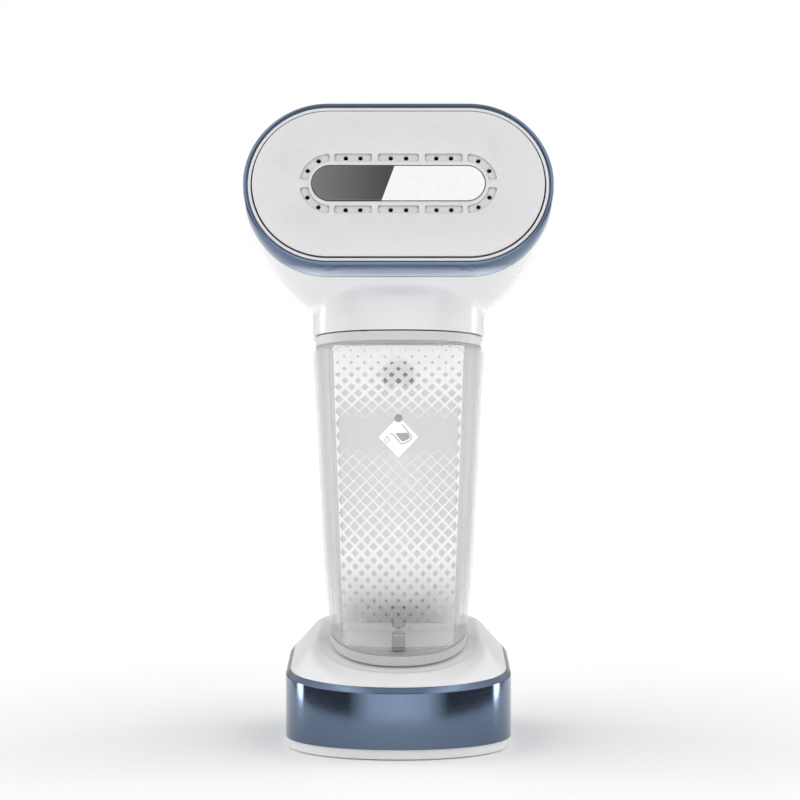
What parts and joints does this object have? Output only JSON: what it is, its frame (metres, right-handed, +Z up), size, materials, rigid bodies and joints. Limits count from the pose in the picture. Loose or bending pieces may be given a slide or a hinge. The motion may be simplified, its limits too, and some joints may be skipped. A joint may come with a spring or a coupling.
{
  "type": "garment steamer",
  "caption": "Standing handheld garment steamer: a tilted stadium steam head on a hollow body, with a slide-off clear water tank, a closed rear grip with a trigger, and a wide foot.",
  "frame": {"origin": "middle of the underside of the rubber feet, under the centre of the object's box", "axes": "+Z up, the steam head faces -Y, +X is to the right of someone who looks at the steam plate"},
  "size_m": [0.1482, 0.15, 0.3126],
  "materials": {
    "aluminium": "die cast",
    "badge_chrome": "mirror",
    "black_plastic": "matte black",
    "blue_trim": "satin metallic blue",
    "board_green": "solder mask",
    "clear_tank": "clear",
    "frosted_tank": "frosted clear",
    "grey_plastic": "matte grey",
    "grey_rubber": "matte",
    "lamp_lens": "tinted clear",
    "plate_coating": "satin light grey coating",
    "steel": "satin",
    "white_plastic": "gloss white"
  },
  "bodies": {
    "steamer": {"steam_plate": "plate_coating", "plate_badge": "badge_chrome", "plate_bezel": "white_plastic", "head_trim_ring": "blue_trim", "plate_gasket": "grey_rubber", "steam_chamber": "aluminium", "plate_screw_1": "steel", "plate_screw_2": "steel", "plate_screw_3": "steel", "plate_screw_4": "steel", "heating_element": "steel", "thermostat": "grey_plastic", "thermal_fuse": "steel", "head_shell": "white_plastic", "column_spine": "white_plastic", "dock_pad": "grey_rubber", "grip_front_shell": "white_plastic", "grip_back_shell": "white_plastic", "trigger_bracket": "steel", "trigger_pin": "steel", "trigger_spring": "steel", "trigger_switch": "black_plastic", "power_switch": "black_plastic", "indicator_lens": "lamp_lens", "dock_spigot": "grey_plastic", "dock_seal": "grey_rubber", "base_shell": "white_plastic", "base_trim_band": "blue_trim", "base_plate": "white_plastic", "rubber_foot_1": "grey_rubber", "rubber_foot_2": "grey_rubber", "rubber_foot_3": "grey_rubber", "rubber_foot_4": "grey_rubber", "base_screw_1": "steel", "base_screw_2": "steel", "base_screw_3": "steel", "base_screw_4": "steel", "cord_gland": "grey_rubber", "water_pump": "black_plastic", "pump_inlet_hose": "grey_rubber", "steam_feed_hose": "grey_rubber", "control_board": "board_green", "board_relay": "black_plastic", "wiring_loom": "black_plastic"},
    "water_tank": {"tank_body": "clear_tank", "tank_top_cap": "frosted_tank", "tank_bottom_cap": "frosted_tank", "tank_back": "frosted_tank", "tank_valve_body": "grey_plastic"},
    "tank_valve_stem": {"tank_valve_stem": "steel"},
    "filler_plug": {"filler_plug": "grey_rubber"},
    "trigger": {"trigger": "blue_trim"},
    "lock_slider": {"lock_slider": "blue_trim"},
    "power_button": {"power_button": "grey_plastic"},
    "pump_plunger": {"pump_plunger": "steel"}
  },
  "joints": [
    {"name": "tank_slide", "type": "slide", "parent": "steamer", "child": "water_tank", "axis": [0, -1, 0], "range_m": [0, 0.07]},
    {"name": "valve_stem_slide", "type": "slide", "parent": "water_tank", "child": "tank_valve_stem", "axis": [0, -1, 0], "range_m": [0, 0.0015], "stiffness_N_per_m": 200, "springref_m": -0.001},
    {"name": "filler_plug_pull", "type": "slide", "parent": "water_tank", "child": "filler_plug", "axis": [0, 1, 0], "range_m": [0, 0.004]},
    {"name": "trigger_hinge", "type": "hinge", "parent": "steamer", "child": "trigger", "pos_m": [0, 0.0505, 0.202], "axis": [1, 0, 0], "range_deg": [0, 7], "stiffness_Nm_per_rad": 0.4, "springref_deg": -5.73, "deforming": ["trigger_spring"]},
    {"name": "lock_slide", "type": "slide", "parent": "steamer", "child": "lock_slider", "axis": [0, -0.0743, -0.9972], "range_m": [0, 0.005]},
    {"name": "power_button_press", "type": "slide", "parent": "steamer", "child": "power_button", "axis": [0, -0.7375, -0.6753], "range_m": [0, 0.0015], "stiffness_N_per_m": 700, "springref_m": -0.0012},
    {"name": "pump_plunger_slide", "type": "slide", "parent": "steamer", "child": "pump_plunger", "axis": [0, 1, 0], "range_m": [-0.0015, 0.0015], "stiffness_N_per_m": 1500}
  ]
}
